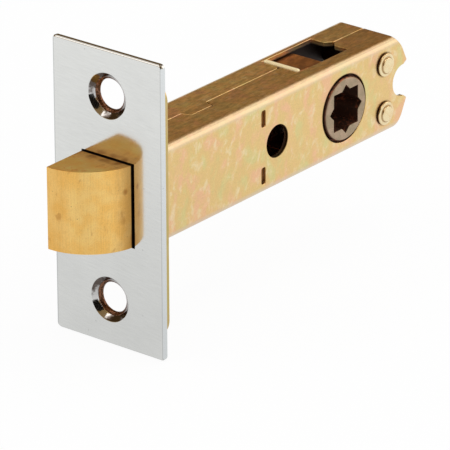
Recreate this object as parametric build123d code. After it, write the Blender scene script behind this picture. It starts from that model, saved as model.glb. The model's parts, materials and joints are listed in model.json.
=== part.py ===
from build123d import *
import math
import os

# Tubular mortice latch with a sprung brass bolt. Millimetres, +Z up.
# Origin: centre of the faceplate's front face. +X runs along the case into the door,
# and the bolt points along -X.

# Faceplate and the backing plate behind it
face_width = 25.4
face_height = 57.15
face_thickness = 0.9
face_corner_radius = 0.9
face_edge_bevel = 0.3
screw_spacing = 39.5
screw_hole_diameter = 5.8
countersink_diameter = 8.8
countersink_depth = 1.3
backing_side_step = 0.2
backing_screw_margin = 5.25
backing_thickness = 0.95
backing_corner_radius = 4.0

# Hub, whose star hole takes a square spindle of either size
backset = 60.3
small_square = 6.9
large_square = 7.4
hub_wall = 0.97
hub_bearing_clearance = 0.45
hub_proud = 0.4
hub_edge_bevel = 0.3
collar_overlap = 0.3
collar_end_clearance = 0.2

# Horns on the hub, which push the pull strips back
hub_swing = 72.0
horn_nose_radius = 0.65
horn_nose_drop = 0.29
horn_thickness = 1.5
horn_front_bulge = 1.05
horn_side_clearance = 0.3
horn_push_clearance = 0.45
horn_notch_length = 3.0
horn_notch_side_clearance = 0.2

# Pull strips, one above and one below
strip_thickness = 1.0
strip_side_clearance = 0.55
strip_roof_clearance = 0.2
strip_hub_clearance = 0.2
strip_front = 4.0
strip_tail = 4.05
strip_corner_radius = 1.2
strip_tab_clearance = 0.25
strip_tab_proud = 0.35
stop_clearance = 0.1

# Folded case
case_width = 14.3
sheet = 1.0
bend_radius = 1.7
case_tail = 16.0
case_press_gap = 0.03

# Seam on the case's top, with one interlocking tab
seam_offset = 0.7
seam_gap = 0.18
seam_tab_start = 21.6
seam_tab_length = 7.3
seam_tab_reach = 1.9
seam_tab_taper = 0.6

# Bulging ears at the rear of the case's sides, with a round notch between them
ear_reach = 3.4
ear_bulge = 0.35
ear_tip_flat = 0.25
rear_notch_radius = 3.15
rear_notch_inset = 1.1
rear_notch_lip = 0.1
rear_notch_flare = 0.7

# Openings in the case's top and bottom, for the pull strips' tabs and the hub's horns
opening_lead = 9.6
opening_tail = 5.5
opening_width = 8.7
seam_relief = 1.3

# Through-fixing hole, and the guide plate that the spring pushes against
fixing_hole_lead = 20.3
fixing_hole_diameter = 6.3
guide_plate_lead = 4.05
guide_plate_thickness = 1.0
guide_strip_clearance = 0.2
guide_slot_drop = 3.7
guide_slot_length = 3.25
guide_slot_clearance = 0.13
guide_slot_corner = 0.42
guide_tab_recess = 0.5
spring_pip_height = 0.8

# Rear rivets
rivet_tail = 12.5
rear_rivet_spacing = 9.8
rear_rivet_neck_diameter = 3.4
rear_rivet_diameter = 4.6
rear_rivet_head_proud = 0.55
rear_rivet_tip_diameter = 3.0
rear_rivet_tip_proud = 0.9

# Latch bolt
bolt_side_clearance = 0.3
bolt_roof_clearance = 0.4
bolt_projection = 10.0
bolt_window_clearance = 0.2
bolt_tip_flat = 0.4
bolt_tip_round = 0.2
bolt_rear = 13.5
spigot_diameter = 5.9
spigot_length = 4.0
cross_rivet_x = 9.0
cross_rivet_diameter = 3.0

# Return spring, its wire given flat sides and short straight runs
spring_wire_radius = 0.5
spring_fit_clearance = 0.4
spring_turns = 5.5
spring_runs_per_turn = 9
spring_wire_sides = 6

# How far a cutting block passes the surface that it cuts
PAST = 1.0

# Places worked out from the sizes above, from the spindle outwards
boss_radius = large_square / math.sqrt(2) + hub_wall
hub_hole_radius = boss_radius + hub_bearing_clearance
collar_radius = hub_hole_radius + collar_overlap
strip_bottom = collar_radius + strip_hub_clearance
strip_top = strip_bottom + strip_thickness
inner_half_height = strip_top + strip_roof_clearance
half_height = inner_half_height + sheet
half_width = case_width / 2
inner_half_width = half_width - sheet

backing_rear = face_thickness + backing_thickness
case_front = face_thickness
case_end = backset + case_tail
ear_tip_x = case_end + ear_reach
opening_front = backset - opening_lead
opening_rear = backset + opening_tail
opening_near_side = seam_offset - opening_width / 2
tab_front = opening_front + stop_clearance
tab_rear = tab_front + strip_thickness
strip_half_width = inner_half_width - strip_side_clearance

fixing_hole_x = backset - fixing_hole_lead
guide_plate_x = fixing_hole_x - guide_plate_lead
guide_front = guide_plate_x - guide_plate_thickness / 2
guide_rear = guide_plate_x + guide_plate_thickness / 2
guide_slot_centre = half_height - guide_slot_drop

bolt_width = 2 * (inner_half_width - bolt_side_clearance)
bolt_height = 2 * (inner_half_height - bolt_roof_clearance)
bevel_radius = bolt_width - bolt_tip_flat
spring_radius = spigot_diameter / 2 + spring_wire_radius + spring_fit_clearance

# A resting horn leans forward by half of its swing, with its nose just under the strip
rest_lean = math.radians(hub_swing / 2)
horn_nose_centre = (strip_bottom - horn_nose_drop) / math.cos(rest_lean)
horn_side = opening_near_side + horn_side_clearance
nose_rear_x = backset - horn_nose_centre * math.sin(rest_lean) + math.sqrt(
    horn_nose_radius ** 2 - horn_nose_drop ** 2)
notch_rear = nose_rear_x + horn_push_clearance
strip_end = notch_rear + strip_tail


def block(x_range, y_range, z_range):
    """A box given by its lowest and highest X, Y and Z."""
    size = [high - low for low, high in (x_range, y_range, z_range)]
    centre = [(high + low) / 2 for low, high in (x_range, y_range, z_range)]
    return Pos(*centre) * Box(*size)


def rod_along_x(radius, x_range, z=0.0):
    length = x_range[1] - x_range[0]
    return Pos(x_range[0] + length / 2, 0, z) * Rot(0, 90, 0) * Cylinder(radius, length)


def rod_along_y(radius, half_length, x, z=0.0):
    return Pos(x, 0, z) * Rot(90, 0, 0) * Cylinder(radius, 2 * half_length)


def side_face(points):
    """A face in the X-Z plane from (x, z) points."""
    return Plane.XZ * make_face(Polyline(*points, close=True))


def both_heights(part):
    """The part and its mirror image below the centre plane."""
    return part + mirror(part, Plane.XY)


# Plates

def screw_hole(side):
    """A countersunk hole through both plates."""
    height = side * screw_spacing / 2
    hole = rod_along_x(screw_hole_diameter / 2, (-PAST, backing_rear + PAST), height)
    sink = Cone(countersink_diameter / 2, screw_hole_diameter / 2, countersink_depth)
    return hole + Pos(countersink_depth / 2, 0, height) * Rot(0, 90, 0) * sink


def faceplate():
    outline = RectangleRounded(face_width, face_height, face_corner_radius)
    plate = extrude(Plane.YZ * outline, face_thickness)
    front_edges = plate.faces().sort_by(Axis.X)[0].edges()
    plate = chamfer(front_edges, face_edge_bevel)
    half_y = bolt_width / 2 + bolt_window_clearance
    half_z = bolt_height / 2 + bolt_window_clearance
    plate -= block((-PAST, face_thickness + PAST), (-half_y, half_y), (-half_z, half_z))
    for side in (-1, 1):
        plate -= screw_hole(side)
    return plate


def backing_plate():
    width = face_width - 2 * backing_side_step
    height = screw_spacing + 2 * backing_screw_margin
    outline = RectangleRounded(width, height, backing_corner_radius)
    window = RectangleRounded(
        2 * (half_width + case_press_gap), 2 * (half_height + case_press_gap), bend_radius + case_press_gap)
    plate = extrude(Plane.YZ.offset(face_thickness) * (outline - window), backing_thickness)
    for side in (-1, 1):
        plate -= screw_hole(side)
    return plate


# Folded case

def seam_slit():
    """The thin gap between the two folded halves, round one trapezoid tab of the far half."""
    tab_end = seam_tab_start + seam_tab_length
    tip = seam_offset - seam_tab_reach
    before = case_front - case_width
    behind = ear_tip_x + case_width
    far_side = case_width
    far_half = make_face(Polyline(
        (before, seam_offset), (seam_tab_start, seam_offset),
        (seam_tab_start + seam_tab_taper, tip), (tab_end - seam_tab_taper, tip),
        (tab_end, seam_offset), (behind, seam_offset),
        (behind, far_side), (before, far_side), close=True))
    slit = offset(far_half, seam_gap, kind=Kind.INTERSECTION) - far_half
    return Pos(0, 0, inner_half_height - PAST) * extrude(slit, sheet + 2 * PAST)


def top_opening():
    """The opening in the top, with the folded corners relieved where the seam meets it."""
    near = opening_near_side
    far = near + opening_width
    outline = make_face(Polyline(
        (opening_front, near), (opening_front, seam_offset - seam_relief / 2),
        (opening_front - seam_relief / 2, seam_offset),
        (opening_front, seam_offset + seam_relief / 2), (opening_front, far),
        (opening_rear, far), (opening_rear, seam_offset + seam_relief),
        (opening_rear + seam_relief, seam_offset + seam_gap),
        (opening_rear + seam_relief, seam_offset - seam_gap),
        (opening_rear, seam_offset - seam_relief), (opening_rear, near), close=True))
    return Pos(0, 0, inner_half_height - PAST) * extrude(outline, sheet + 2 * PAST)


def bottom_opening():
    near = opening_near_side
    x_range = (opening_front, opening_rear)
    return block(x_range, (near, near + opening_width), (-half_height - PAST, -inner_half_height + PAST))


def side_outline():
    """The case seen from the side: sloping ears at the rear and a round notch between them."""
    notch_x = ear_tip_x - rear_notch_inset
    mouth = rear_notch_radius - rear_notch_lip
    flare = mouth + rear_notch_flare
    tip = flare + ear_tip_flat
    past = half_height + PAST
    slope_length = math.hypot(ear_reach, half_height - tip)
    middle_x = (case_end + ear_tip_x) / 2 + ear_bulge * (half_height - tip) / slope_length
    middle_z = (half_height + tip) / 2 + ear_bulge * ear_reach / slope_length
    body = side_face([
        (case_front, -past), (case_end, -past), (case_end, -half_height), (middle_x, -middle_z),
        (ear_tip_x, -tip), (ear_tip_x, tip),
        (middle_x, middle_z), (case_end, half_height), (case_end, past), (case_front, past)])
    notch = side_face([
        (notch_x, -mouth), (ear_tip_x, -flare), (ear_tip_x + PAST, -flare),
        (ear_tip_x + PAST, flare), (ear_tip_x, flare), (notch_x, mouth)])
    kept = extrude(body, case_width, both=True)
    kept -= extrude(notch, case_width, both=True)
    return kept - rod_along_y(rear_notch_radius, case_width, notch_x)


def case_body():
    outer = RectangleRounded(2 * half_width, 2 * half_height, bend_radius)
    inner = RectangleRounded(2 * inner_half_width, 2 * inner_half_height, bend_radius - sheet)
    case = extrude(Plane.YZ.offset(case_front) * (outer - inner), ear_tip_x - case_front)
    case = case & side_outline()
    case -= seam_slit()
    case -= top_opening()
    case -= bottom_opening()
    case -= rod_along_y(hub_hole_radius, case_width, backset)
    case -= rod_along_y(fixing_hole_diameter / 2, case_width, fixing_hole_x)
    slot_width = guide_plate_thickness + 2 * guide_slot_clearance
    slot = RectangleRounded(slot_width, guide_slot_length, guide_slot_corner)
    for side in (-1, 1):
        place = Plane.XZ * Pos(guide_plate_x, side * guide_slot_centre)
        case -= extrude(place * slot, case_width, both=True)
        rivet_height = side * rear_rivet_spacing / 2
        case -= rod_along_y(rear_rivet_neck_diameter / 2, case_width, backset + rivet_tail, rivet_height)
    return case


def guide_plate():
    """Fixed plate across the case that the spring pushes against, held by four tabs."""
    tab_half = guide_slot_length / 2 - guide_slot_clearance
    body_top = strip_bottom - guide_strip_clearance
    x_range = (guide_front, guide_rear)
    plate = block(x_range, (-inner_half_width, inner_half_width), (-body_top, body_top))
    tab_reach = half_width - guide_tab_recess
    tab_top = min(guide_slot_centre + tab_half, body_top)
    tabs = block(x_range, (-tab_reach, tab_reach), (guide_slot_centre - tab_half, tab_top))
    plate += both_heights(tabs)
    pip_radius = spigot_diameter / 2
    return plate + rod_along_x(pip_radius, (guide_front - spring_pip_height, guide_front))


def rear_rivet(side):
    """Shouldered rivet that holds the two sides apart, with a stepped head outside each."""
    rivet = Cylinder(rear_rivet_tip_diameter / 2, 2 * (half_width + rear_rivet_tip_proud))
    rivet += Cylinder(rear_rivet_diameter / 2, 2 * (half_width + rear_rivet_head_proud))
    grip = Cylinder(rear_rivet_diameter / 2, sheet) - Cylinder(rear_rivet_neck_diameter / 2, sheet)
    for end in (-1, 1):
        rivet -= Pos(0, 0, end * (half_width - sheet / 2)) * grip
    return Pos(backset + rivet_tail, 0, side * rear_rivet_spacing / 2) * Rot(90, 0, 0) * rivet


# Bolt and what pulls it back

def latch_bolt():
    """Brass bolt: one flat side, and a round bevel from its tip to the other side."""
    near = -bolt_width / 2
    far = bolt_width / 2
    arc_x = bevel_radius - bolt_projection
    arc_y = near + bevel_radius
    tip = (-bolt_projection, arc_y)
    diagonal = bevel_radius * math.sqrt(0.5)
    bevel = ThreePointArc(tip, (arc_x - diagonal, arc_y - diagonal), (arc_x, near))
    sides = Polyline((arc_x, near), (bolt_rear, near), (bolt_rear, far), (-bolt_projection, far), tip)
    bolt = extrude(make_face(bevel + sides), bolt_height / 2, both=True)
    tip_edges = bolt.edges().filter_by(Axis.Z).sort_by(Axis.X)[:2].sort_by(Axis.Y)[-1:]
    bolt = fillet(tip_edges, bolt_tip_round)
    seat = block((strip_front, bolt_rear + PAST), (-bolt_width, bolt_width), (strip_bottom, bolt_height))
    bolt -= both_heights(seat)
    bolt += rod_along_x(spigot_diameter / 2, (bolt_rear, bolt_rear + spigot_length))
    return bolt - cross_rivet()


def cross_rivet():
    """One long rivet through the upper strip, the bolt and the lower strip, flush at both ends."""
    return Pos(cross_rivet_x, 0, 0) * Cylinder(cross_rivet_diameter / 2, 2 * strip_top)


def pull_strip(side):
    """Flat strip with an upturned tab, and a notch in its edge that a hub horn pushes."""
    z_cut = (strip_bottom - PAST, strip_top + PAST)
    blank = RectangleRounded(strip_end - strip_front, 2 * strip_half_width, strip_corner_radius)
    strip = Pos((strip_front + strip_end) / 2, 0, strip_bottom) * extrude(blank, strip_thickness)
    tab_top = half_height + strip_tab_proud
    tab_half = opening_width / 2 - strip_tab_clearance
    tab_sides = (seam_offset - tab_half, seam_offset + tab_half)
    window_length = tab_top - strip_top
    strip -= block((tab_front - window_length, tab_front), tab_sides, z_cut)
    strip += block((tab_front, tab_rear), tab_sides, (strip_bottom, tab_top))
    notch_inner = horn_side + horn_thickness + horn_notch_side_clearance
    notch_x = (notch_rear - horn_notch_length, notch_rear)
    strip -= block(notch_x, (-strip_half_width - PAST, notch_inner), z_cut)
    strip -= cross_rivet()
    return strip if side > 0 else mirror(strip, Plane.XY)


def return_spring():
    """Compression spring between the bolt's rear face and the guide plate, ground flat at both ends."""
    length = guide_front - bolt_rear + 2 * spring_wire_radius
    runs = round(spring_turns * spring_runs_per_turn)
    points = []
    for run in range(runs + 1):
        turn = 2 * math.pi * run / spring_runs_per_turn
        along = bolt_rear - spring_wire_radius + length * run / runs
        points.append((along, spring_radius * math.cos(turn), spring_radius * math.sin(turn)))
    path = Polyline(*points)
    section = Plane(path @ 0, z_dir=path % 0) * RegularPolygon(spring_wire_radius, spring_wire_sides)
    wire = sweep(section, path, transition=Transition.RIGHT)
    half = spring_radius + PAST
    return wire & block((bolt_rear, guide_front), (-half, half), (-half, half))


# Hub

def star_socket():
    """Two squares at 45 degrees to each other, for a spindle of either size."""
    half = half_width + hub_proud + PAST
    star = Rot(0, 0, 45) * Rectangle(small_square, small_square) + Rectangle(large_square, large_square)
    return extrude(Plane.XZ * star, half, both=True)


def horn():
    """The upper horn as it stands when its nose is straight above the hub's centre."""
    nose = ThreePointArc(
        (horn_nose_radius, horn_nose_centre), (0, horn_nose_centre + horn_nose_radius),
        (-horn_nose_radius, horn_nose_centre))
    root = collar_radius / 2
    front = -horn_nose_radius - horn_front_bulge
    flanks = Polyline(
        (-horn_nose_radius, horn_nose_centre), (front, collar_radius - horn_nose_radius),
        (front, root), (horn_nose_radius, root), (horn_nose_radius, horn_nose_centre))
    profile = Plane.XZ * make_face(nose + flanks)
    return Pos(0, horn_side + horn_thickness, 0) * extrude(profile, horn_thickness)


def hub():
    body = Cylinder(boss_radius, 2 * (half_width + hub_proud))
    body = chamfer(body.edges().filter_by(GeomType.CIRCLE), hub_edge_bevel)
    body += Cylinder(collar_radius, 2 * (inner_half_width - collar_end_clearance))
    body = Rot(90, 0, 0) * body
    leaning = Rot(0, -math.degrees(rest_lean), 0) * horn()
    body += both_heights(leaning)
    return Pos(backset, 0, 0) * (body - star_socket())


nodes = {
    "faceplate": faceplate(),
    "backing_plate": backing_plate(),
    "case_body": case_body(),
    "guide_plate": guide_plate(),
    "upper_rear_rivet": rear_rivet(1),
    "lower_rear_rivet": rear_rivet(-1),
    "latch_bolt": latch_bolt(),
    "cross_rivet": cross_rivet(),
    "upper_pull_strip": pull_strip(1),
    "lower_pull_strip": pull_strip(-1),
    "return_spring": return_spring(),
    "hub": hub(),
}

os.makedirs("parts", exist_ok=True)
for name, shape in nodes.items():
    export_step(shape, f"parts/{name}.step")
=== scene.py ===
import json
import math

import bmesh
import bpy
from mathutils import Matrix, Vector


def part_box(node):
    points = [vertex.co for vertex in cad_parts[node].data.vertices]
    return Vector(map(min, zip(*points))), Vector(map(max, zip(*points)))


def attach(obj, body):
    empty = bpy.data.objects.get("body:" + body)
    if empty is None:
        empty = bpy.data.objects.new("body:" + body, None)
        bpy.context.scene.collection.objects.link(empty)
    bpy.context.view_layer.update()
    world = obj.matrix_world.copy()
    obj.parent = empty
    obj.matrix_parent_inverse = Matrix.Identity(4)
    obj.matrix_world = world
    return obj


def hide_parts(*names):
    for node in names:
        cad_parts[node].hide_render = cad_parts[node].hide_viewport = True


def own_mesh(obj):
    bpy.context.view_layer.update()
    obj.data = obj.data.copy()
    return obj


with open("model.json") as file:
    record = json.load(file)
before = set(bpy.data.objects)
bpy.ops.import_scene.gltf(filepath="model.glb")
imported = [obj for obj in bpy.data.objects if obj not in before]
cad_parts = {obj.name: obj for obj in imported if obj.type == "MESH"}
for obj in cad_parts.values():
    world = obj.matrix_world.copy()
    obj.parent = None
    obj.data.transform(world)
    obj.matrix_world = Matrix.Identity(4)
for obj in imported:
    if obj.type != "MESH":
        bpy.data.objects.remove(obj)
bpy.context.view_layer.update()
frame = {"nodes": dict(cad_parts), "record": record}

MM = 0.001
scene = bpy.context.scene
faceplate_low, faceplate_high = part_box("faceplate")
case_low, case_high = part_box("case_body")
hub_low, hub_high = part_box("hub")
rivet_low, rivet_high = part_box("upper_rear_rivet")
spring_low, spring_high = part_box("return_spring")

# Sizes of the latch in millimetres

FACE_HALF_WIDTH = faceplate_high.y / MM
FACE_HALF_HEIGHT = faceplate_high.z / MM
SCREW_HEIGHT = 19.75
COUNTERSINK_RADIUS = 4.4
CASE_HALF_WIDTH = case_high.y / MM
CASE_HALF_HEIGHT = case_high.z / MM
SHEET = 1.0
BEND = 1.9
SEAM_Y = 0.7
FIXING_X = 40.0
FIXING_RADIUS = 3.15
BOLT_HALF_HEIGHT = CASE_HALF_HEIGHT - 1.42
HUB_X = (hub_low.x + hub_high.x) / 2 / MM
HUB_HALF_LENGTH = hub_high.y / MM
HUB_HOLE = 6.65
RIVET_X = (rivet_low.x + rivet_high.x) / 2 / MM
RIVET_HEIGHT = (rivet_low.z + rivet_high.z) / 2 / MM
RIVET_HALF_LENGTH = rivet_high.y / MM
RIVET_HEAD = 2.3
RIVET_HEAD_THICKNESS = 0.55
RIVET_TAIL = 1.5
RIVET_NECK = 1.7
WIRE_RADIUS = 0.5
SPRING_TURNS = 5.5


# Camera, at the photograph's viewing angle, in degrees and metres. The lens is in millimetres.

CAMERA_AZIMUTH = -51.337
CAMERA_ELEVATION = 23.407
CAMERA_ROLL = -0.212
CAMERA_DISTANCE = 0.8783
CAMERA_ACROSS = 0.02089
CAMERA_UP = -0.0047
LENS = 392.96
SENSOR = 36.0
NEAREST_SEEN = 0.01
FARTHEST_SEEN = 20


def make_camera():
    turn = math.radians(CAMERA_AZIMUTH)
    rise = math.radians(CAMERA_ELEVATION)
    roll = math.radians(CAMERA_ROLL)
    right = Vector((math.cos(turn), math.sin(turn), 0))
    level = math.cos(rise)
    back = Vector((math.sin(turn) * level, -math.cos(turn) * level, math.sin(rise)))
    up = back.cross(right)
    rolled_right = math.cos(roll) * right + math.sin(roll) * up
    rolled_up = math.cos(roll) * up - math.sin(roll) * right
    place = CAMERA_ACROSS * rolled_right + CAMERA_UP * rolled_up + CAMERA_DISTANCE * back
    data = bpy.data.cameras.new("camera")
    data.lens = LENS
    data.sensor_width = SENSOR
    data.clip_start = NEAREST_SEEN
    data.clip_end = FARTHEST_SEEN
    camera = bpy.data.objects.new("camera", data)
    scene.collection.objects.link(camera)
    turned = Matrix((rolled_right, rolled_up, back)).transposed().to_4x4()
    camera.matrix_world = Matrix.Translation(place) @ turned
    scene.camera = camera


# Trees of nodes, written as sums

class Value:
    """A socket that can be used in a sum."""

    def __init__(self, tree, socket):
        self.tree = tree
        self.socket = socket

    def math(self, operation, *others):
        settings = {"operation": operation}
        return self.tree.node("ShaderNodeMath", settings, dict(enumerate((self,) + others)))

    def __add__(self, other):
        return self.math("ADD", other)

    __radd__ = __add__

    def __sub__(self, other):
        return self.math("SUBTRACT", other)

    def __rsub__(self, other):
        return self * -1 + other

    def __mul__(self, other):
        return self.math("MULTIPLY", other)

    __rmul__ = __mul__

    def __truediv__(self, other):
        return self.math("DIVIDE", other)

    def __abs__(self):
        return self.math("ABSOLUTE")


class Tree:
    """A tree that nodes are added to."""

    def __init__(self, tree):
        self.tree = tree
        self.tree.nodes.clear()

    def node(self, kind, settings=None, inputs=None, output=0):
        """Adds a node with its settings and its sockets' values or links.

        Gives one of the node's outputs, by name or number.
        """
        made = self.tree.nodes.new(kind)
        for name, setting in (settings or {}).items():
            setattr(made, name, setting)
        for name, given in (inputs or {}).items():
            if isinstance(given, Value):
                self.tree.links.new(given.socket, made.inputs[name])
            else:
                made.inputs[name].default_value = given
        return Value(self, made.outputs[output]) if made.outputs else None


class Finish(Tree):
    """The tree of a material or a world."""

    def __init__(self, owner):
        owner.use_nodes = True
        super().__init__(owner.node_tree)
        self.owner = owner

    def place(self):
        """Object coordinates, which are the frame's metres."""
        return self.node("ShaderNodeTexCoord", output="Object")

    def millimetres(self, place):
        """The place's X, Y and Z in millimetres."""
        first = self.node("ShaderNodeSeparateXYZ", {}, {0: place})
        return [Value(self, socket) / MM for socket in first.socket.node.outputs]

    def distance(self, *sides):
        """How far apart two points are, from how far apart they are along each axis."""
        return sum(side * side for side in sides).math("SQRT")

    def stretched(self, place, scale, turn=(0, 0, 0)):
        inputs = {"Vector": place, "Scale": scale, "Rotation": [math.radians(a) for a in turn]}
        return self.node("ShaderNodeMapping", {"vector_type": "TEXTURE"}, inputs)

    def noise(self, place, grain_mm, detail=2.0, roughness=0.5, distortion=0.0):
        inputs = {"Vector": place, "Scale": 1 / (grain_mm * MM), "Detail": detail,
                  "Roughness": roughness, "Distortion": distortion}
        return self.node("ShaderNodeTexNoise", {}, inputs)

    def spots(self, place, spacing_mm, seed=0.0):
        """Distance from the nearest of scattered points, in units of their spacing."""
        inputs = {0: place, 1: (seed, seed, seed)}
        moved = self.node("ShaderNodeVectorMath", {"operation": "ADD"}, inputs)
        inputs = {"Vector": moved, "Scale": 1 / (spacing_mm * MM)}
        return self.node("ShaderNodeTexVoronoi", {"feature": "F1"}, inputs, "Distance")

    def spread(self, value, low, high, to_low=0.0, to_high=1.0):
        """The value's range low to high, spread softly over another range, held at its ends."""
        settings = {"interpolation_type": "SMOOTHSTEP"}
        inputs = {"Value": value, "From Min": low, "From Max": high,
                  "To Min": to_low, "To Max": to_high}
        return self.node("ShaderNodeMapRange", settings, inputs)

    def mix(self, share, first, second):
        settings = {"data_type": "RGBA"}
        inputs = {0: share, 6: first, 7: second}
        return self.node("ShaderNodeMix", settings, inputs, 2)

    def tint(self, colour, value):
        """A colour made lighter or darker by a value."""
        settings = {"data_type": "RGBA", "blend_type": "MULTIPLY"}
        grey = self.node("ShaderNodeCombineColor", {}, {0: value, 1: value, 2: value})
        return self.node("ShaderNodeMix", settings, {0: 1.0, 6: colour, 7: grey}, 2)

    def blot(self, place, centre, radius):
        """A soft round spot: 1 at its centre, 0 at its radius."""
        sides = [along - middle for along, middle in zip(place, centre)]
        return self.spread(self.distance(*sides), radius, 0.3 * radius)

    def bump(self, height, depth_mm):
        inputs = {"Height": height, "Distance": depth_mm * MM, "Strength": 1.0}
        return self.node("ShaderNodeBump", {}, inputs)

    def metal(self, **sockets):
        """The metal shader and the material's output."""
        inputs = {name.replace("_", " ").title(): value for name, value in sockets.items()}
        shader = self.node("ShaderNodeBsdfPrincipled", {}, inputs)
        self.node("ShaderNodeOutputMaterial", {}, {"Surface": shader})
        return self.owner


def new_finish(name):
    return Finish(bpy.data.materials.new(name))


def rgb(red, green, blue):
    return (red, green, blue, 1.0)


# Finishes. Lengths are in millimetres, and a mask goes from 0 to 1.

def chrome_plate():
    """Bright nickel-chrome with a fine satin grain, dull inside the countersinks, with painted
    shade in brown toward their top and lower right.
    """
    f = new_finish("satin_chrome_plate")
    place = f.place()
    x, y, z = f.millimetres(place)
    cloud = f.noise(place, 9.0, 3.0)
    grain = f.noise(f.stretched(place, (1, 5.0, 0.5), (7, 0, 0)), 0.7, 4.0, 0.65)
    speck = f.spread(f.spots(place, 3.3, 0.7), 0.03, 0.06, 1.0, 0.0)
    light = 0.64 + 0.09 * cloud + 0.13 * grain - 0.14 * speck
    colour = f.tint(rgb(0.99, 1.0, 0.975), light)
    # Painted reflection: a darker line along each long edge of the face, and the side faces tinted
    # blue-grey.
    edge_shade_grey, reflected_blue_grey = rgb(0.30, 0.32, 0.33), rgb(0.72, 0.78, 0.82)
    painted_edge_shade = f.spread(abs(abs(y) - (FACE_HALF_WIDTH - 0.42)), 0.13, 0.05)
    side = f.spread(abs(y), FACE_HALF_WIDTH - 0.36, FACE_HALF_WIDTH - 0.28)
    colour = f.mix(0.35 * painted_edge_shade, colour, edge_shade_grey)
    colour = f.mix(0.40 * side, colour, reflected_blue_grey)
    # Painted shade: the faceplate's top and bottom ends dark, which narrows their bright edge.
    painted_end_shade = f.spread(abs(z), FACE_HALF_HEIGHT - 0.24, FACE_HALF_HEIGHT - 0.15)
    colour = f.mix(0.75 * painted_end_shade, colour, rgb(0.16, 0.15, 0.14))
    across = abs(z) - SCREW_HEIGHT
    from_screw = f.distance(y, across)
    sunk = f.spread(from_screw, COUNTERSINK_RADIUS, COUNTERSINK_RADIUS - 0.12)
    sunk = sunk * f.spread(x, 0.02, 0.10)
    # Inside the countersinks: dull steel, with painted shade in dark brown toward the top and lower
    # right of each, broken up by noise.
    up = z.math("SIGN") * across
    dulled_and_shaded = 0.4 * f.noise(place, 1.1, 3.0, 0.6) + f.spread(up, -1.5, 3.0, 0.24, 0.40)
    dulled_and_shaded = dulled_and_shaded + 0.17 * f.spread(y + up, -2.0, -4.2)
    steel, shade_dark_brown = rgb(0.62, 0.61, 0.60), rgb(0.060, 0.034, 0.022)
    dull_and_shaded_sink = f.mix(f.spread(dulled_and_shaded, 0.44, 0.58), steel, shade_dark_brown)
    colour = f.mix(0.92 * sunk, colour, dull_and_shaded_sink)
    rough = 0.075 + 0.06 * cloud + 0.03 * grain
    ripple = f.bump(0.7 * f.noise(place, 2.6, 2.0) + 0.3 * grain, 0.0022)
    return f.metal(base_color=colour, metallic=1.0, roughness=rough, normal=ripple)


def zinc_clouds(f, place):
    """Yellow passivated zinc: gold with soft clouds of pink, green and straw, run down the sheet.

    Gives the colour, the roughness and the fine grain.
    """
    gold, pink = rgb(0.825, 0.585, 0.250), rgb(0.90, 0.54, 0.32)
    green, straw = rgb(0.74, 0.65, 0.29), rgb(0.88, 0.73, 0.46)
    hung = f.stretched(place, (1.0, 1.0, 1.45))
    cloud = f.noise(hung, 4.2, 3.0, 0.55, 0.3)
    tilted = f.stretched(place, (1.0, 1.0, 1.35), (0, 20, 0))
    second = f.noise(tilted, 1.9, 4.0, 0.62, 0.4)
    fine = f.noise(place, 0.30, 3.0, 0.6)
    colour = f.mix(0.85 * f.spread(cloud, 0.50, 0.68), gold, pink)
    colour = f.mix(0.85 * f.spread(cloud, 0.50, 0.34), colour, green)
    colour = f.mix(0.70 * f.spread(second, 0.52, 0.70), colour, straw)
    colour = f.tint(colour, 0.76 + 0.16 * second + 0.32 * fine)
    rough = 0.24 + 0.12 * second + 0.05 * fine
    return colour, rough, fine


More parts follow.
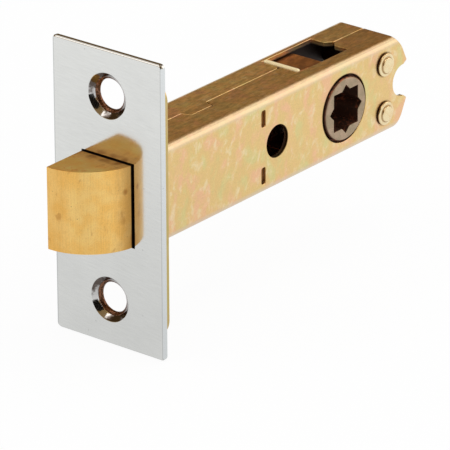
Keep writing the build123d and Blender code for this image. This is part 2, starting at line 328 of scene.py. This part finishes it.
def case_zinc():
    """The folded case, with painted light: a pale highlight along its bends, brown shade on its top
    and bottom, and dark shade inside, in its fixing hole, around its rivets and by the hub.
    """
    f = new_finish("yellow_zinc_case")
    place = f.place()
    colour, rough, fine = zinc_clouds(f, place)
    x, y, z = f.millimetres(place)

    # Painted highlight: the case paler along its bends.
    past_side = abs(y) - (CASE_HALF_WIDTH - BEND)
    past_top = abs(z) - (CASE_HALF_HEIGHT - BEND)
    painted_bend_highlight = f.spread(past_side.math("MINIMUM", past_top), 0.05, 0.9) * (0.75 + 0.4 * fine)
    colour = f.mix(0.55 * painted_bend_highlight, colour, rgb(0.80, 0.67, 0.52))

    # Painted shade: the top and bottom faces brown, more so toward the rear and on the near half.
    top = f.spread(abs(z), CASE_HALF_HEIGHT - 0.5, CASE_HALF_HEIGHT)
    near_half = f.spread(y, SEAM_Y + 0.1, SEAM_Y - 0.1)
    painted_top_shade = f.spread(x, 40, 78, 0.05, 0.42) + 0.30 * near_half
    colour = f.mix(top * painted_top_shade, colour, rgb(0.46, 0.25, 0.08))
    flecks = f.noise(f.stretched(place, (3.0, 1, 1)), 0.6, 4.0, 0.68)
    colour = f.tint(colour, 1 + 1.6 * top * (flecks - 0.5))

    from_rivet = f.distance(x - RIVET_X, abs(z) - RIVET_HEIGHT)
    from_hub = f.distance(x - HUB_X, z)
    bright_side = f.spread(x - HUB_X - z, -1.0, 5.0)
    # Painted shade: a dark crescent on one side of the hub hole and dark rings around the rivet
    # heads.
    by_hub = f.spread(from_hub, HUB_HOLE + 0.35, HUB_HOLE - 0.1) * (1 - bright_side)
    by_rivet = f.spread(from_rivet, RIVET_HEAD + 0.45, RIVET_HEAD)
    painted_contact_shade = by_rivet.math("MAXIMUM", by_hub)
    colour = f.mix(0.55 * painted_contact_shade, colour, rgb(0.16, 0.09, 0.035))

    # Painted shade: the case's inside faces dark brown with orange patches, nearly black toward the
    # rear, except the lit side of the hub bore; they are also less metallic and rougher.
    depth = (CASE_HALF_WIDTH - abs(y)).math("MINIMUM", CASE_HALF_HEIGHT - abs(z))
    bore = f.spread(from_hub, HUB_HOLE + 0.3, HUB_HOLE + 0.15) * bright_side
    inside = f.spread(depth, 0.3 * SHEET, 0.95 * SHEET) * (1 - bore)
    stain = f.spread(f.noise(place, 2.4, 3.0), 0.38, 0.58)
    dark = f.mix(stain, rgb(0.16, 0.08, 0.04), rgb(0.85, 0.42, 0.20))
    dark = f.mix(f.spread(x, 53, 60), dark, rgb(0.05, 0.03, 0.02))
    colour = f.mix(inside, colour, dark)

    from_fixing = f.distance(x - FIXING_X, z)
    # Painted shade: the fixing hole's wall nearly black.
    painted_hole_shade = f.spread(from_fixing, FIXING_RADIUS + 0.12, FIXING_RADIUS + 0.02)
    colour = f.mix(0.85 * painted_hole_shade, colour, rgb(0.06, 0.032, 0.018))
    return f.metal(base_color=colour, metallic=1 - 0.6 * inside,
                   roughness=rough + 0.2 * inside, normal=f.bump(fine, 0.005))


def plate_zinc():
    """The plate behind the faceplate, with painted shade in coppery brown in its screw holes."""
    f = new_finish("yellow_zinc_plate")
    place = f.place()
    colour, rough, fine = zinc_clouds(f, place)
    _, y, z = f.millimetres(place)
    from_screw = f.distance(y, abs(z) - SCREW_HEIGHT)
    # Painted shade: the screw holes' walls coppery brown to near black.
    hole = f.spread(from_screw, COUNTERSINK_RADIUS, COUNTERSINK_RADIUS - 0.5)
    hole_shade_copper, shade_dark_brown = rgb(0.26, 0.12, 0.07), rgb(0.08, 0.04, 0.02)
    colour = f.mix(hole, colour, f.mix(f.spread(fine, 0.40, 0.60), hole_shade_copper, shade_dark_brown))
    rim = f.spread(abs(y), FACE_HALF_WIDTH - 0.6, FACE_HALF_WIDTH - 0.35)
    colour = f.mix(0.7 * rim, colour, rgb(0.50, 0.40, 0.13))
    return f.metal(base_color=colour, metallic=1.0, roughness=rough, normal=f.bump(fine, 0.005))


def oiled_zinc():
    """Plates inside the case: red-brown under old oil, with a painted highlight in pale on the tabs
    that stand out and painted shade on the tab ends in the case's slots.
    """
    f = new_finish("oiled_zinc_plate")
    place = f.place()
    _, y, z = f.millimetres(place)
    stain = f.noise(f.stretched(place, (2.0, 1, 1)), 1.7, 4.0, 0.6)
    fine = f.noise(place, 0.22, 2.0)
    red_brown, brown = rgb(0.50, 0.23, 0.085), rgb(0.27, 0.115, 0.045)
    colour = f.mix(f.spread(stain, 0.36, 0.64), red_brown, brown)
    # Painted highlight: the tops of the tabs that stand out pale and less metallic.
    painted_tab_highlight = f.spread(abs(z), CASE_HALF_HEIGHT - 0.35, CASE_HALF_HEIGHT + 0.05)
    colour = f.mix(painted_tab_highlight, colour, rgb(1.0, 0.85, 0.52))
    # Painted shade: the tab ends in the case's slots dark.
    painted_slot_shade = f.spread(abs(y), CASE_HALF_WIDTH - 1.2, CASE_HALF_WIDTH - 0.9)
    colour = f.mix(0.65 * painted_slot_shade, colour, rgb(0.12, 0.055, 0.015))
    colour = f.tint(colour, 0.85 + 0.3 * fine)
    return f.metal(base_color=colour, metallic=1 - 0.65 * painted_tab_highlight,
                   roughness=0.34 + 0.14 * stain + 0.12 * painted_tab_highlight, normal=f.bump(fine, 0.004))


def pale_zinc():
    """The same plating on headed rivets, paler on top, with painted shade at their steps and by the
    case.
    """
    f = new_finish("pale_zinc_rivet")
    place = f.place()
    x, y, z = f.millimetres(place)
    cloud = f.noise(place, 1.6, 2.0)
    fine = f.noise(place, 0.25, 2.0)
    pale, straw = rgb(0.90, 0.75, 0.46), rgb(0.87, 0.67, 0.38)
    colour = f.mix(f.spread(cloud, 0.42, 0.62), pale, straw)
    from_axis = f.distance(x - RIVET_X, abs(z) - RIVET_HEIGHT)
    # Painted shade: a dark brown ring at the step between head and tail.
    by_tail = f.spread(abs(from_axis - (RIVET_TAIL + 0.05)), 0.30, 0.08)
    by_head = f.spread(abs(y), CASE_HALF_WIDTH + 0.85, CASE_HALF_WIDTH + 0.60)
    colour = f.mix(0.75 * by_tail * by_head, colour, rgb(0.34, 0.18, 0.06))
    # Painted shade: the rivets nearly black where they meet and pass into the case, and rougher
    # there.
    painted_case_shade = f.spread(abs(y), CASE_HALF_WIDTH + 0.50, CASE_HALF_WIDTH + 0.20)
    colour = f.mix(painted_case_shade, colour, rgb(0.10, 0.050, 0.020))
    rough = 0.22 + 0.10 * cloud + 0.15 * painted_case_shade
    return f.metal(base_color=colour, metallic=1.0, roughness=rough, normal=f.bump(fine, 0.0012))


def bolt_brass():
    """Drawn brass: brushed lines, saw marks on its ends, pits, brown tarnish by the plate, and
    painted shade, black, where it enters the plate.
    """
    f = new_finish("drawn_brass")
    place = f.place()
    x, y, z = f.millimetres(place)
    lines = f.noise(f.stretched(place, (0.30, 0.30, 7.0)), 0.55, 4.0, 0.6)
    sawn = f.noise(f.stretched(place, (6.0, 0.3, 0.3), (0, 0, -14)), 0.9, 3.0, 0.55)
    top = f.spread(abs(z), BOLT_HALF_HEIGHT - 0.13, BOLT_HALF_HEIGHT)
    marks = lines * (1 - top) + sawn * top
    cloud = f.noise(place, 3.6, 3.0)
    fine = f.noise(place, 0.22, 2.0)
    amber, yellow = rgb(0.95, 0.565, 0.155), rgb(0.99, 0.655, 0.225)
    colour = f.mix(f.spread(cloud, 0.35, 0.65), amber, yellow)
    colour = f.tint(colour, 0.62 + 0.40 * marks + 0.36 * fine + 0.16 * top)
    by_tip = f.spread(x, -8.9, -9.8)
    colour = f.mix(0.25 * by_tip, colour, rgb(0.62, 0.30, 0.06))

    by_plate = f.spread(x, -4.5, -0.7)
    stain = f.spread(f.noise(f.stretched(place, (1, 1, 1.5)), 2.1, 2.0, 0.5, 0.3), 0.62, 0.74)
    patch = f.spread(f.noise(f.stretched(place, (1, 1, 1.4)), 2.6, 1.0), 0.50, 0.66)
    large = f.blot((x, y, z), (-1.8, -5.8, 3.3), 0.9)
    small = f.blot((x, y, z), (-1.9, -5.8, -2.3), 0.45)
    tarnish = (0.40 + 0.40 * patch) * by_plate + 0.34 * stain + 0.55 * large + 0.45 * small
    colour = f.mix(tarnish, colour, rgb(0.42, 0.17, 0.04))
    pit = f.spread(f.spots(place, 1.5, 0.31), 0.035, 0.07, 1.0, 0.0)
    pit = pit * f.spread(cloud, 0.46, 0.56)
    colour = f.mix(0.7 * pit, colour, rgb(0.20, 0.10, 0.04))
    # Painted shade: the bolt black where it enters the faceplate.
    painted_gap_shade = f.spread(x, -0.55, -0.36)
    colour = f.mix(painted_gap_shade, colour, rgb(0.012, 0.006, 0.003))
    rough = 0.34 + 0.12 * marks + 0.08 * stain - 0.05 * top
    surface = f.bump(marks * (1 - 0.5 * top) - 1.2 * pit, 0.006)
    return f.metal(base_color=colour, metallic=1 - 0.11 * top, roughness=rough, normal=surface)


def spring_steel():
    """Drawn spring wire with a light oil film."""
    f = new_finish("spring_steel")
    place = f.place()
    drawn = f.noise(place, 0.4, 3.0)
    colour = f.tint(rgb(0.50, 0.49, 0.47), 0.85 + 0.3 * drawn)
    return f.metal(base_color=colour, metallic=1.0,
                   roughness=0.26 + 0.12 * drawn, normal=f.bump(drawn, 0.004))


def cast_hub():
    """Fine-grained cast metal: warm grey faces, and painted shade, dark with reddish streaks, in
    its socket and on its sides.
    """
    f = new_finish("cast_hub_metal")
    place = f.place()
    _, y, _ = f.millimetres(place)
    grain = f.noise(place, 0.26, 3.0, 0.65)
    cloud = f.noise(place, 2.0, 2.0)
    pore = f.spread(f.spots(place, 0.55, 0.2), 0.10, 0.22, 1.0, 0.0)
    grey, warm_grey = rgb(0.41, 0.32, 0.210), rgb(0.50, 0.37, 0.255)
    colour = f.mix(f.spread(cloud, 0.38, 0.62), grey, warm_grey)
    colour = f.tint(colour, 0.72 + 0.50 * grain - 0.30 * pore)
    # Painted shade: everything below the end faces, in the socket and on the sides, dark brown with
    # reddish streaks.
    painted_shade_below_face = f.spread(HUB_HALF_LENGTH - abs(y), 0.10, 0.20)
    streak = f.spread(f.noise(f.stretched(place, (1, 1, 4)), 0.7, 3.0), 0.50, 0.66)
    streaked_shade_colour = f.mix(streak, rgb(0.12, 0.06, 0.04), rgb(0.40, 0.14, 0.075))
    colour = f.mix(painted_shade_below_face, colour, streaked_shade_colour)
    surface = f.bump(grain - 0.7 * pore, 0.016)
    return f.metal(base_color=colour, metallic=0.9, roughness=0.42 + 0.14 * grain, normal=surface)


FINISHES = {
    "chrome_plate": chrome_plate(),
    "case_zinc": case_zinc(),
    "plate_zinc": plate_zinc(),
    "oiled_zinc": oiled_zinc(),
    "pale_zinc": pale_zinc(),
    "bolt_brass": bolt_brass(),
    "spring_steel": spring_steel(),
    "cast_hub": cast_hub(),
}


# Pieces

EDGE_ANGLE = math.radians(28)
FLAT_ANGLE = math.radians(0.2)
MERGE_DISTANCE = 0.002 * MM
ROUNDING_STEPS = 3
FLAT_FACES_WEIGHT = 80


def place_piece(name, mesh, finish, slot, body, *nodes):
    """Puts a finished mesh in the frame, on its body, in the place of its CAD nodes."""
    mesh.name = name
    mesh.materials.clear()
    mesh.materials.append(FINISHES[finish])
    piece = bpy.data.objects.new(name, mesh)
    scene.collection.objects.link(piece)
    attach(piece, body)
    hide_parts(*nodes)
    return piece


def evaluated_mesh(piece):
    """The piece's mesh with its modifiers applied and flat faces shaded flat. Removes the piece."""
    weighted = piece.modifiers.new("flat_faces_first", "WEIGHTED_NORMAL")
    weighted.mode = "FACE_AREA"
    weighted.weight = FLAT_FACES_WEIGHT
    graph = bpy.context.evaluated_depsgraph_get()
    graph.update()
    mesh = bpy.data.meshes.new_from_object(piece.evaluated_get(graph), depsgraph=graph)
    bpy.data.objects.remove(piece)
    return mesh


def broken_edges(node, radius_mm, clamp):
    """A merged copy of a CAD node with its sharp edges rounded to a small radius."""
    mesh = bpy.data.meshes.new(node)
    work = bmesh.new()
    work.from_mesh(frame["nodes"][node].data)
    bmesh.ops.remove_doubles(work, verts=work.verts, dist=MERGE_DISTANCE)
    bmesh.ops.dissolve_limit(work, angle_limit=FLAT_ANGLE, verts=work.verts, edges=work.edges,
                             use_dissolve_boundaries=False)
    for face in work.faces:
        face.smooth = True
    work.to_mesh(mesh)
    work.free()
    piece = bpy.data.objects.new(node, mesh)
    scene.collection.objects.link(piece)
    bevel = piece.modifiers.new("rounded_edges", "BEVEL")
    bevel.width = radius_mm * MM
    bevel.segments = ROUNDING_STEPS
    bevel.limit_method = "ANGLE"
    bevel.angle_limit = EDGE_ANGLE
    bevel.use_clamp_overlap = clamp
    bevel.miter_outer = "MITER_ARC"
    bevel.loop_slide = False
    return evaluated_mesh(piece)


# Piece, its CAD node, finish, the record's slot, body, and its edges' radius in millimetres

ROUNDED = [
    ("chromed_faceplate", "faceplate", "chrome_plate", "chrome_plate", "latch_case", 0.07),
    ("rear_plate", "backing_plate", "plate_zinc", "yellow_zinc", "latch_case", 0.12),
    ("folded_case", "case_body", "case_zinc", "yellow_zinc", "latch_case", 0.15),
    ("spring_guide_plate", "guide_plate", "oiled_zinc", "yellow_zinc", "latch_case", 0.12),
    ("brass_bolt", "latch_bolt", "bolt_brass", "bolt_brass", "sliding_bolt", 0.08),
    ("long_cross_rivet", "cross_rivet", "spring_steel", "spring_steel", "sliding_bolt", 0.12),
    ("upper_strip", "upper_pull_strip", "oiled_zinc", "yellow_zinc", "sliding_bolt", 0.46),
    ("lower_strip", "lower_pull_strip", "oiled_zinc", "yellow_zinc", "sliding_bolt", 0.46),
    ("star_hub", "hub", "cast_hub", "cast_hub", "spindle_hub", 0.12),
]
# A clamped bevel would round the case's edges by hardly 0.005 mm.
UNCLAMPED = ["case_body"]

for name, node, finish, slot, body, radius in ROUNDED:
    rounded_mesh = broken_edges(node, radius, clamp=node not in UNCLAMPED)
    place_piece(name, rounded_mesh, finish, slot, body, node)


# Rivets and spring, made by geometry nodes

class Maker(Tree):
    """A geometry tree on a new object, with named inputs for its sizes."""

    KINDS = {float: "NodeSocketFloat", int: "NodeSocketInt",
             bpy.types.Material: "NodeSocketMaterial"}

    def __init__(self, name, start, **sizes):
        super().__init__(bpy.data.node_groups.new(name, "GeometryNodeTree"))
        sockets = self.tree.interface
        sockets.new_socket("Geometry", in_out="OUTPUT", socket_type="NodeSocketGeometry")
        sockets.new_socket("Geometry", in_out="INPUT", socket_type="NodeSocketGeometry")
        given = {}
        for label, size in sizes.items():
            kind = self.KINDS[type(size)]
            given[label] = sockets.new_socket(label, in_out="INPUT", socket_type=kind)
        self.piece = bpy.data.objects.new(name, start)
        scene.collection.objects.link(self.piece)
        modifier = self.piece.modifiers.new(name, "NODES")
        modifier.node_group = self.tree
        for label, size in sizes.items():
            modifier[given[label].identifier] = size
        first = self.node("NodeGroupInput")
        self.sizes = {socket.name: Value(self, socket) for socket in first.socket.node.outputs}

    def vector(self, x=0.0, y=0.0, z=0.0):
        return self.node("ShaderNodeCombineXYZ", {}, {0: x, 1: y, 2: z})

    def mesh(self, geometry):
        """Ends the tree, and gives its result as a plain mesh that faces outwards."""
        real = self.node("GeometryNodeRealizeInstances", {}, {0: geometry})
        inputs = {"Geometry": real, "Distance": MERGE_DISTANCE}
        joined = self.node("GeometryNodeMergeByDistance", {}, inputs)
        smooth = self.node("GeometryNodeSetShadeSmooth", {}, {"Geometry": joined})
        inputs = {"Geometry": smooth, "Material": self.sizes["finish"]}
        painted = self.node("GeometryNodeSetMaterial", {}, inputs)
        self.node("NodeGroupOutput", {}, {0: painted})
        mesh = evaluated_mesh(self.piece)
        work = bmesh.new()
        work.from_mesh(mesh)
        bmesh.ops.recalc_face_normals(work, faces=work.faces)
        work.to_mesh(mesh)
        work.free()
        return mesh


def rivet_outline():
    """A rear rivet's outline, radius by length: tail, head, neck in the sheet, and shoulder."""
    head_top = CASE_HALF_WIDTH + RIVET_HEAD_THICKNESS
    sheet_inside = CASE_HALF_WIDTH - SHEET
    half = [(0, RIVET_HALF_LENGTH), (RIVET_TAIL, RIVET_HALF_LENGTH), (RIVET_TAIL, head_top),
            (RIVET_HEAD, head_top), (RIVET_HEAD, CASE_HALF_WIDTH), (RIVET_NECK, CASE_HALF_WIDTH),
            (RIVET_NECK, sheet_inside), (RIVET_HEAD, sheet_inside)]
    points = half + [(radius, -along) for radius, along in reversed(half)]
    mesh = bpy.data.meshes.new("rivet_outline")
    links = [(index, index + 1) for index in range(len(points) - 1)]
    mesh.from_pydata([(radius * MM, along * MM, 0) for radius, along in points], links, [])
    return mesh


def rear_rivets():
    """Both stepped rivets: one outline turned about its axis and set at two heights."""
    m = Maker("rear_rivets", rivet_outline(), finish=FINISHES["pale_zinc"],
              count=2, spacing=rivet_high.z + rivet_low.z, axis_x=(rivet_low.x + rivet_high.x) / 2,
              rounding=0.2 * MM, rounding_steps=4, sides=64, pin_hole=0.0005 * MM)
    size = m.sizes
    outline = m.node("GeometryNodeMeshToCurve", {}, {0: size["Geometry"]})
    rounded = m.node("GeometryNodeFilletCurve", {"mode": "POLY"}, {
        "Curve": outline, "Count": size["rounding_steps"], "Radius": size["rounding"],
        "Limit Radius": True})
    # The merging of near points closes this hole along the axis.
    axis = m.node("GeometryNodeCurvePrimitiveCircle", {}, {
        "Resolution": size["sides"], "Radius": size["pin_hole"]})
    turned = m.node("GeometryNodeCurveToMesh", {}, {"Curve": axis, "Profile Curve": rounded})
    start = m.vector(size["axis_x"], 0.0, size["spacing"] / -2)
    row = m.node("GeometryNodeMeshLine", {}, {
        "Count": size["count"], "Start Location": start, "Offset": m.vector(z=size["spacing"])})
    across = (math.radians(90), 0, 0)
    both = m.node("GeometryNodeInstanceOnPoints", {}, {
        "Points": row, "Instance": turned, "Rotation": across})
    return m.mesh(both)


def coil_spring():
    """Spring wire in a helix that closes up at both ends."""
    wire = WIRE_RADIUS * MM
    m = Maker("coil_spring", bpy.data.meshes.new("spring_start"), finish=FINISHES["spring_steel"],
              turns=SPRING_TURNS, wire=wire, coil=spring_high.z - wire,
              length=spring_high.x - spring_low.x - 2 * wire, start_x=spring_low.x + wire,
              end_pitch=0.3, steps=40, sides=14)
    size = m.sizes
    helix = m.node("GeometryNodeCurveSpiral", {}, {
        "Resolution": size["steps"], "Rotations": size["turns"], "Start Radius": size["coil"],
        "End Radius": size["coil"], "Height": 0.0})
    share = m.node("GeometryNodeSplineParameter")
    eased = share * share * (3 - 2 * share)
    rise = (size["end_pitch"] * share + (1 - size["end_pitch"]) * eased) * size["length"]
    lifted = m.node("GeometryNodeSetPosition", {}, {"Geometry": helix, "Offset": m.vector(z=rise)})
    section = m.node("GeometryNodeCurvePrimitiveCircle", {}, {
        "Resolution": size["sides"], "Radius": size["wire"]})
    tube = m.node("GeometryNodeCurveToMesh", {}, {
        "Curve": lifted, "Profile Curve": section, "Fill Caps": True})
    along_case = (0, math.radians(90), 0)
    laid = m.node("GeometryNodeTransform", {}, {
        "Geometry": tube, "Translation": m.vector(size["start_x"]), "Rotation": along_case})
    return m.mesh(laid)


place_piece("rear_rivets", rear_rivets(), "pale_zinc", "pale_zinc", "latch_case",
            "upper_rear_rivet", "lower_rear_rivet")
spring = place_piece("coil_spring", coil_spring(), "spring_steel", "spring_steel", "latch_case",
                     "return_spring")
bolt_travel = next(joint["range_m"][1] for joint in frame["record"]["behaviour"]["joints"]
                   if joint["name"] == "bolt_slide")
spring_length = spring_high.x - spring_low.x
(spring_length - bolt_travel) / spring_length
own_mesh(spring)


# Floor, backdrop and lights

FLOOR_SIZE = 6.0
FLOOR_DEPTH = faceplate_low.z - 0.0002
FLOOR_SHOWN = 0.94
# Painted shadow: how white the floor looks to the metal near the latch and far from it, and the
# distances in millimetres over which it whitens.
SHADOWED_NEAR_WHITE, FAR_WHITE = 0.78, 0.96
WHITER_FROM, WHITER_TO = -20, 150
HORIZON_LOW, HORIZON_HIGH = 0.05, 0.22
WHITE = rgb(1, 1, 1)
PLAIN = rgb(0.9, 0.9, 0.9)
ROOM_GREY = rgb(0.6, 0.6, 0.6)
WARM_ROOM = rgb(0.290, 0.188, 0.080)
AIMED_AT = Vector((0.03, 0, 0))

# Lamp, azimuth and elevation in degrees, distance and size in metres, and brightness
LAMPS = [
    ("right_softbox", -32, 28, 1.2, (1.1, 0.9), 1.15),
    ("rear_left_softbox", 140, 47, 1.2, (0.75, 0.30), 1.7),
    ("front_softbox", 256, 42, 1.3, (0.5, 0.5), 2.2),
    ("overhead_softbox", -100, 82, 1.6, (1.2, 1.2), 1.3),
]
BOARD_AZIMUTH = 208
BOARD_WIDTH = 0.13
BOARD_DISTANCE = 0.25
BOARD_HEIGHT = 0.26


def stage_plane(name, material, corners):
    """A flat sheet of the studio."""
    mesh = bpy.data.meshes.new(name)
    mesh.from_pydata(corners, [], [(0, 1, 2, 3)])
    mesh.materials.append(material)
    sheet = bpy.data.objects.new(name, mesh)
    scene.collection.objects.link(sheet)
    return sheet


def make_floor():
    """Nearly white to the camera, with the latch's shadow, and to the metal white with a painted
    shadow near the latch.
    """
    f = new_finish("studio_floor")
    plain = f.node("ShaderNodeBsdfDiffuse", {}, {"Color": PLAIN})
    camera = f.node("ShaderNodeLightPath", output="Is Camera Ray")
    glossy = f.node("ShaderNodeLightPath", output="Is Glossy Ray")
    through = f.node("ShaderNodeLightPath", output="Is Transmission Ray")
    x, y, _ = f.millimetres(f.place())
    shown = (camera * FLOOR_SHOWN).math("MAXIMUM", glossy).math("MAXIMUM", through)
    # Painted shadow: to the metal, the floor darker near the latch.
    from_latch = f.distance(x, y)
    light = f.spread(from_latch, WHITER_FROM, WHITER_TO, SHADOWED_NEAR_WHITE, FAR_WHITE)
    inputs = {"Color": f.mix(camera, f.tint(WHITE, light), WHITE), "Strength": 1.0}
    white = f.node("ShaderNodeEmission", {}, inputs)
    both = f.node("ShaderNodeMixShader", {}, {0: shown, 1: plain, 2: white})
    f.node("ShaderNodeOutputMaterial", {}, {"Surface": both})
    half = FLOOR_SIZE / 2
    corners = [(-half, -half), (half, -half), (half, half), (-half, half)]
    stage_plane("studio_floor", f.owner, [(x, y, FLOOR_DEPTH) for x, y in corners])


def make_world():
    """White to the camera. To the metal a white horizon and a dim warm studio, to the rest grey."""
    f = Finish(bpy.data.worlds.new("studio"))
    scene.world = f.owner
    direction = f.node("ShaderNodeTexCoord", output="Generated")
    height = f.node("ShaderNodeSeparateXYZ", {}, {0: direction}, 2)
    camera = f.node("ShaderNodeLightPath", output="Is Camera Ray")
    glossy = f.node("ShaderNodeLightPath", output="Is Glossy Ray")
    room = f.mix(f.spread(height, HORIZON_LOW, HORIZON_HIGH), PLAIN, WARM_ROOM)
    seen = f.mix(glossy, ROOM_GREY, room)
    inputs = {"Color": f.mix(camera, seen, WHITE), "Strength": 1.0}
    background = f.node("ShaderNodeBackground", {}, inputs)
    f.node("ShaderNodeOutputWorld", {}, {"Surface": background})


def toward(azimuth, elevation):
    """The direction of an azimuth and an elevation in degrees."""
    turn, rise = math.radians(azimuth), math.radians(elevation)
    level = math.cos(rise)
    return Vector((math.cos(turn) * level, math.sin(turn) * level, math.sin(rise)))


def soft_lamp(name, azimuth, elevation, distance, size, brightness):
    """An area lamp that faces the latch. Its brightness is how white it looks to the metal."""
    data = bpy.data.lights.new(name, "AREA")
    data.shape = "RECTANGLE"
    data.size, data.size_y = size
    data.energy = brightness * math.pi * size[0] * size[1]
    lamp = bpy.data.objects.new(name, data)
    scene.collection.objects.link(lamp)
    back = toward(azimuth, elevation)
    lamp.rotation_mode = "QUATERNION"
    lamp.location = AIMED_AT + distance * back
    lamp.rotation_quaternion = (-back).to_track_quat("-Z", "Y")


def dark_board():
    """A black board beside the camera, which only the metal's reflections show."""
    f = new_finish("dark_board")
    black = f.node("ShaderNodeBsdfDiffuse", {}, {"Color": rgb(0.01, 0.008, 0.006)})
    f.node("ShaderNodeOutputMaterial", {}, {"Surface": black})
    out = BOARD_DISTANCE * toward(BOARD_AZIMUTH, 0)
    aside = BOARD_WIDTH / 2 * toward(BOARD_AZIMUTH + 90, 0)
    low = Vector((0, 0, FLOOR_DEPTH))
    high = Vector((0, 0, FLOOR_DEPTH + BOARD_HEIGHT))
    corners = [out - aside + low, out + aside + low, out + aside + high, out - aside + high]
    board = stage_plane("dark_board", f.owner, corners)
    board.visible_camera = False
    board.visible_diffuse = False
    board.visible_shadow = False
    board.visible_transmission = False


make_camera()
make_floor()
make_world()
for lamp_settings in LAMPS:
    soft_lamp(*lamp_settings)
dark_board()

scene.view_settings.view_transform = "Standard"
